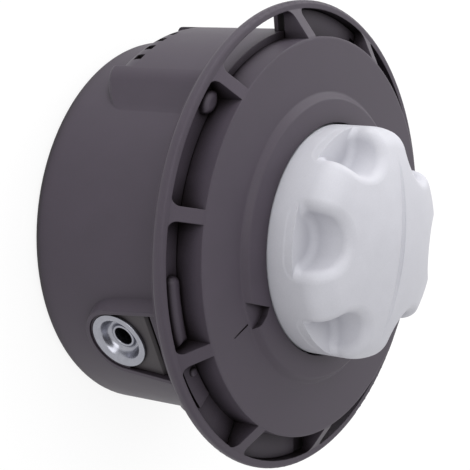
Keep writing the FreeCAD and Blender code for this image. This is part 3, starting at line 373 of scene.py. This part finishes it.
def helix_tree(name, section, sizes):
    """Geometry Nodes: a section swept along a helix, its sizes as inputs."""
    tree = bpy.data.node_groups.new(name, "GeometryNodeTree")
    for size in sizes:
        tree.interface.new_socket(size, in_out="INPUT", socket_type="NodeSocketFloat")
    tree.interface.new_socket("Left Hand", in_out="INPUT", socket_type="NodeSocketBool")
    tree.interface.new_socket("Material", in_out="INPUT", socket_type="NodeSocketMaterial")
    tree.interface.new_socket("Geometry", in_out="OUTPUT", socket_type="NodeSocketGeometry")
    given = add(tree, "NodeGroupInput").outputs
    helix = add(tree, "GeometryNodeCurveSpiral", {
        "Resolution": 48, "Rotations": given["Turns"], "Start Radius": given["Radius"],
        "End Radius": given["Radius"], "Height": given["Height"],
        "Reverse": given["Left Hand"]})
    swept = add(tree, "GeometryNodeCurveToMesh", {
        "Curve": helix.outputs["Curve"], "Profile Curve": section(tree, given),
        "Fill Caps": True})
    real = add(tree, "GeometryNodeRealizeInstances", {0: swept.outputs["Mesh"]})
    coated = add(tree, "GeometryNodeSetMaterial", {
        "Geometry": real.outputs[0], "Material": given["Material"]})
    end = add(tree, "NodeGroupOutput")
    tree.links.new(coated.outputs[0], end.inputs[0])
    return tree


def helix_mesh(name, section, start_height, material, sizes, left_hand):
    """Plain mesh of the swept helix, stood on its start height."""
    holder = bpy.data.objects.new("helix_holder", bpy.data.meshes.new("helix_holder"))
    bpy.context.scene.collection.objects.link(holder)
    modifier = holder.modifiers.new("helix", "NODES")
    modifier.node_group = helix_tree(name, section, sizes)
    values = {**sizes, "Left Hand": left_hand, "Material": material}
    for item in modifier.node_group.interface.items_tree:
        if item.in_out == "INPUT":
            modifier[item.identifier] = values[item.name]
    ready = holder.evaluated_get(bpy.context.evaluated_depsgraph_get())
    mesh = bpy.data.meshes.new_from_object(ready)
    bpy.data.objects.remove(holder)
    mesh.name = name
    mesh.transform(Matrix.Translation((0, 0, start_height)))
    return smooth(mesh, 35)


def bush_thread(material):
    """Left-hand drive thread, cut through the bush from mouth to mouth."""
    pitch, turns, start_height = THREAD_PITCH * MM, 12.4, 0.75 * MM
    return helix_mesh("bush_thread", ridge_section, start_height, material, {
        "Radius": THREAD_ROOT * MM, "Turns": turns, "Height": pitch * turns,
        "Depth": (THREAD_ROOT - THREAD_CREST) * MM, "Half Foot": 0.44 * pitch,
        "Half Crest": 0.07 * pitch}, left_hand=True)


def spring_mesh(material):
    """Return spring between its washers, one steady right-hand helix."""
    lowest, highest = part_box("spring")
    coil, wire, turns = 14.3 * MM, 0.9 * MM, 4.5
    return helix_mesh("return_spring", wire_section, lowest.z + wire, material, {
        "Radius": coil, "Turns": turns, "Height": highest.z - lowest.z - 2 * wire,
        "Wire Radius": wire}, left_hand=False)


# Camera and light


def add_camera():
    """Camera of the photograph, rolled so that the spin axis points right. The
    lens and the view suit each other: both were fitted to the photograph."""
    data = bpy.data.cameras.new("photo_camera")
    data.lens = 117.74
    data.sensor_width = 36.0
    data.clip_start = 0.01
    data.clip_end = 20.0
    camera = bpy.data.objects.new("photo_camera", data)
    bpy.context.scene.collection.objects.link(camera)
    place = Vector((-0.2904, 0.2166, 0.2817))
    right = Vector((0.5196, -0.2512, 0.8167))
    up = Vector((0.5471, 0.8320, -0.0921))
    back = right.cross(up)
    turn = Matrix((right, up, back)).transposed().to_4x4()
    camera.matrix_world = Matrix.Translation(place) @ turn
    bpy.context.scene.camera = camera
    return right, up, back


def add_lamp(name, place, aim, size, watts):
    """Square soft box at a place, pointing at an aim."""
    data = bpy.data.lights.new(name, "AREA")
    data.size = size
    data.energy = watts
    lamp = bpy.data.objects.new(name, data)
    bpy.context.scene.collection.objects.link(lamp)
    lamp.location = place
    lamp.rotation_mode = "QUATERNION"
    lamp.rotation_quaternion = (aim - place).to_track_quat("-Z", "Y")


def add_world(strength):
    """Even surround that lights the object and shows as plain white."""
    world = bpy.data.worlds.new("white_studio")
    bpy.context.scene.world = world
    world.use_nodes = True
    tree = world.node_tree
    tree.nodes.clear()
    light = add(tree, "ShaderNodeBackground", {"Color": WHITE, "Strength": strength})
    white = add(tree, "ShaderNodeBackground", {"Color": WHITE, "Strength": 1.0})
    mixed = add(tree, "ShaderNodeMixShader", {
        0: plainly_seen(tree, 1.0), 1: light.outputs[0], 2: white.outputs[0]})
    output = add(tree, "ShaderNodeOutputWorld")
    tree.links.new(mixed.outputs[0], output.inputs["Surface"])


def add_floor():
    """Floor under the object, a hair below the drum's flat back, because two
    faces in one plane would show through each other."""
    mesh = bpy.data.meshes.new("floor")
    reach, level = 3.0, -0.05 * MM
    mesh.from_pydata(
        [(-reach, -reach, level), (reach, -reach, level), (reach, reach, level),
         (-reach, reach, level)], [], [(0, 1, 2, 3)])
    floor = bpy.data.objects.new("floor", mesh)
    bpy.context.scene.collection.objects.link(floor)
    mesh.materials.append(studio_floor())


# Scene

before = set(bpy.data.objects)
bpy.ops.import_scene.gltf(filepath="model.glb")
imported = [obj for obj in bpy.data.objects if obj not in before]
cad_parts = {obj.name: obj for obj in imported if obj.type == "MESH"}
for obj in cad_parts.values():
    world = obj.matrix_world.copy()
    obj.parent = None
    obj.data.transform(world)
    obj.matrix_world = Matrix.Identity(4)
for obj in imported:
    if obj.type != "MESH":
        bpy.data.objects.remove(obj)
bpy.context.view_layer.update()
right, up, back = add_camera()

# Soft boxes round the object's middle: how far up, right and back of it each
# stands in the camera's own directions, in metres, its side and its power
middle = Vector((0, 0, 45 * MM))
for name, upward, rightward, backward, size, watts in (
        ("top_soft_box", 0.80, 0.0, 0.10, 0.6, 5.0),
        ("far_soft_box", 0.50, 0.60, -0.15, 0.6, 2.4),
        ("near_soft_box", 0.60, -0.50, 0.10, 0.5, 12.0),
        ("front_soft_box", 0.25, 0.15, 0.80, 0.6, 2.2)):
    place = middle + upward * up + rightward * right + backward * back
    add_lamp(name, place, middle, size, watts)
add_world(0.80)
add_floor()

# The fourth colour of each nylon is painted shade, blended in where pockets and corners are
# shut in
# Housing and cap: charcoal with a slight violet cast, matt and evenly grained
head_nylon = moulded_nylon(
    "black_nylon_moulded", "3F3942", "453E48", "141011",
    roughness=0.50, grain_mm=0.35, edge_mm=0.40)
# Spool: the same nylon in black, a little smoother where the line runs
spool_nylon = moulded_nylon(
    "spool_nylon_moulded", "29272A", "302D31", "141212",
    roughness=0.46, grain_mm=0.35, edge_mm=0.25)
# Outlet inserts: a plainer dark grey, finer grained and slightly shinier
insert_nylon = moulded_nylon(
    "insert_nylon_moulded", "3A3639", "423E41", "181515",
    roughness=0.44, grain_mm=0.30, edge_mm=0.20)
# Knob: light grey all through, with soft edges that shine in thin lines
knob_nylon = moulded_nylon(
    "grey_nylon_moulded", "B5B5BC", "BFBFC6", "A4A4AC",
    roughness=0.45, grain_mm=0.30, edge_mm=0.35)
# Eyelets: bare aluminium, turned round the way the line leaves, quite bright
eyelet_metal = turned_metal(
    "turned_aluminium", "8D8E96", "9FA0A8",
    roughness=0.22, ring_mm=0.49, axis="X", centre=(0, 0, EYELET_HEIGHT))
# Bush, washers and screws: steel with a pale, slightly yellow zinc coat
zinc_steel = turned_metal(
    "zinc_plated_steel", "A9ABA9", "BDBEB8",
    roughness=0.30, ring_mm=0.79, axis="Z", centre=(0, 0, 0))
# Spring: bare drawn wire, dull and dark, with the die's lines along its turns
spring_steel = turned_metal(
    "drawn_spring_steel", "6B6A68", "7C7A76",
    roughness=0.32, ring_mm=0.79, axis="Z", centre=(0, 0, 0))

finishes = {
    "housing": head_nylon,
    "cap": head_nylon,
    "outlet_insert_1": insert_nylon,
    "outlet_insert_2": insert_nylon,
    "eyelet_1": eyelet_metal,
    "eyelet_2": eyelet_metal,
    "threaded_bush": zinc_steel,
    "spring_base": zinc_steel,
    "spring_seat": zinc_steel,
    "knob_screws": zinc_steel,
    "spring": spring_steel,
    "spool": spool_nylon,
    "knob": knob_nylon,
}
for name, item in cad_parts.items():
    item.data.materials.clear()
    item.data.materials.append(finishes[name])

bush = new_piece("bush_with_bore", bush_body(), "head", zinc_steel)
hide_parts("threaded_bush")
new_piece("bush_thread", bush_thread(zinc_steel), "head", zinc_steel)
spring = new_piece("return_spring", spring_mesh(spring_steel), "head",
                   spring_steel)
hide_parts("spring")
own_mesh(spring)
for node in ("eyelet_1", "eyelet_2"):
    eyelet = new_piece(f"{node}_turned", eyelet_mesh(node), "head",
                       eyelet_metal)
    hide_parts(node)
    new_piece(f"{node}_seat", outlet_seat(node), "head", head_nylon)
new_piece("flange_edge", flange_edge(), "head", head_nylon)

bpy.context.scene.view_settings.view_transform = "Standard"
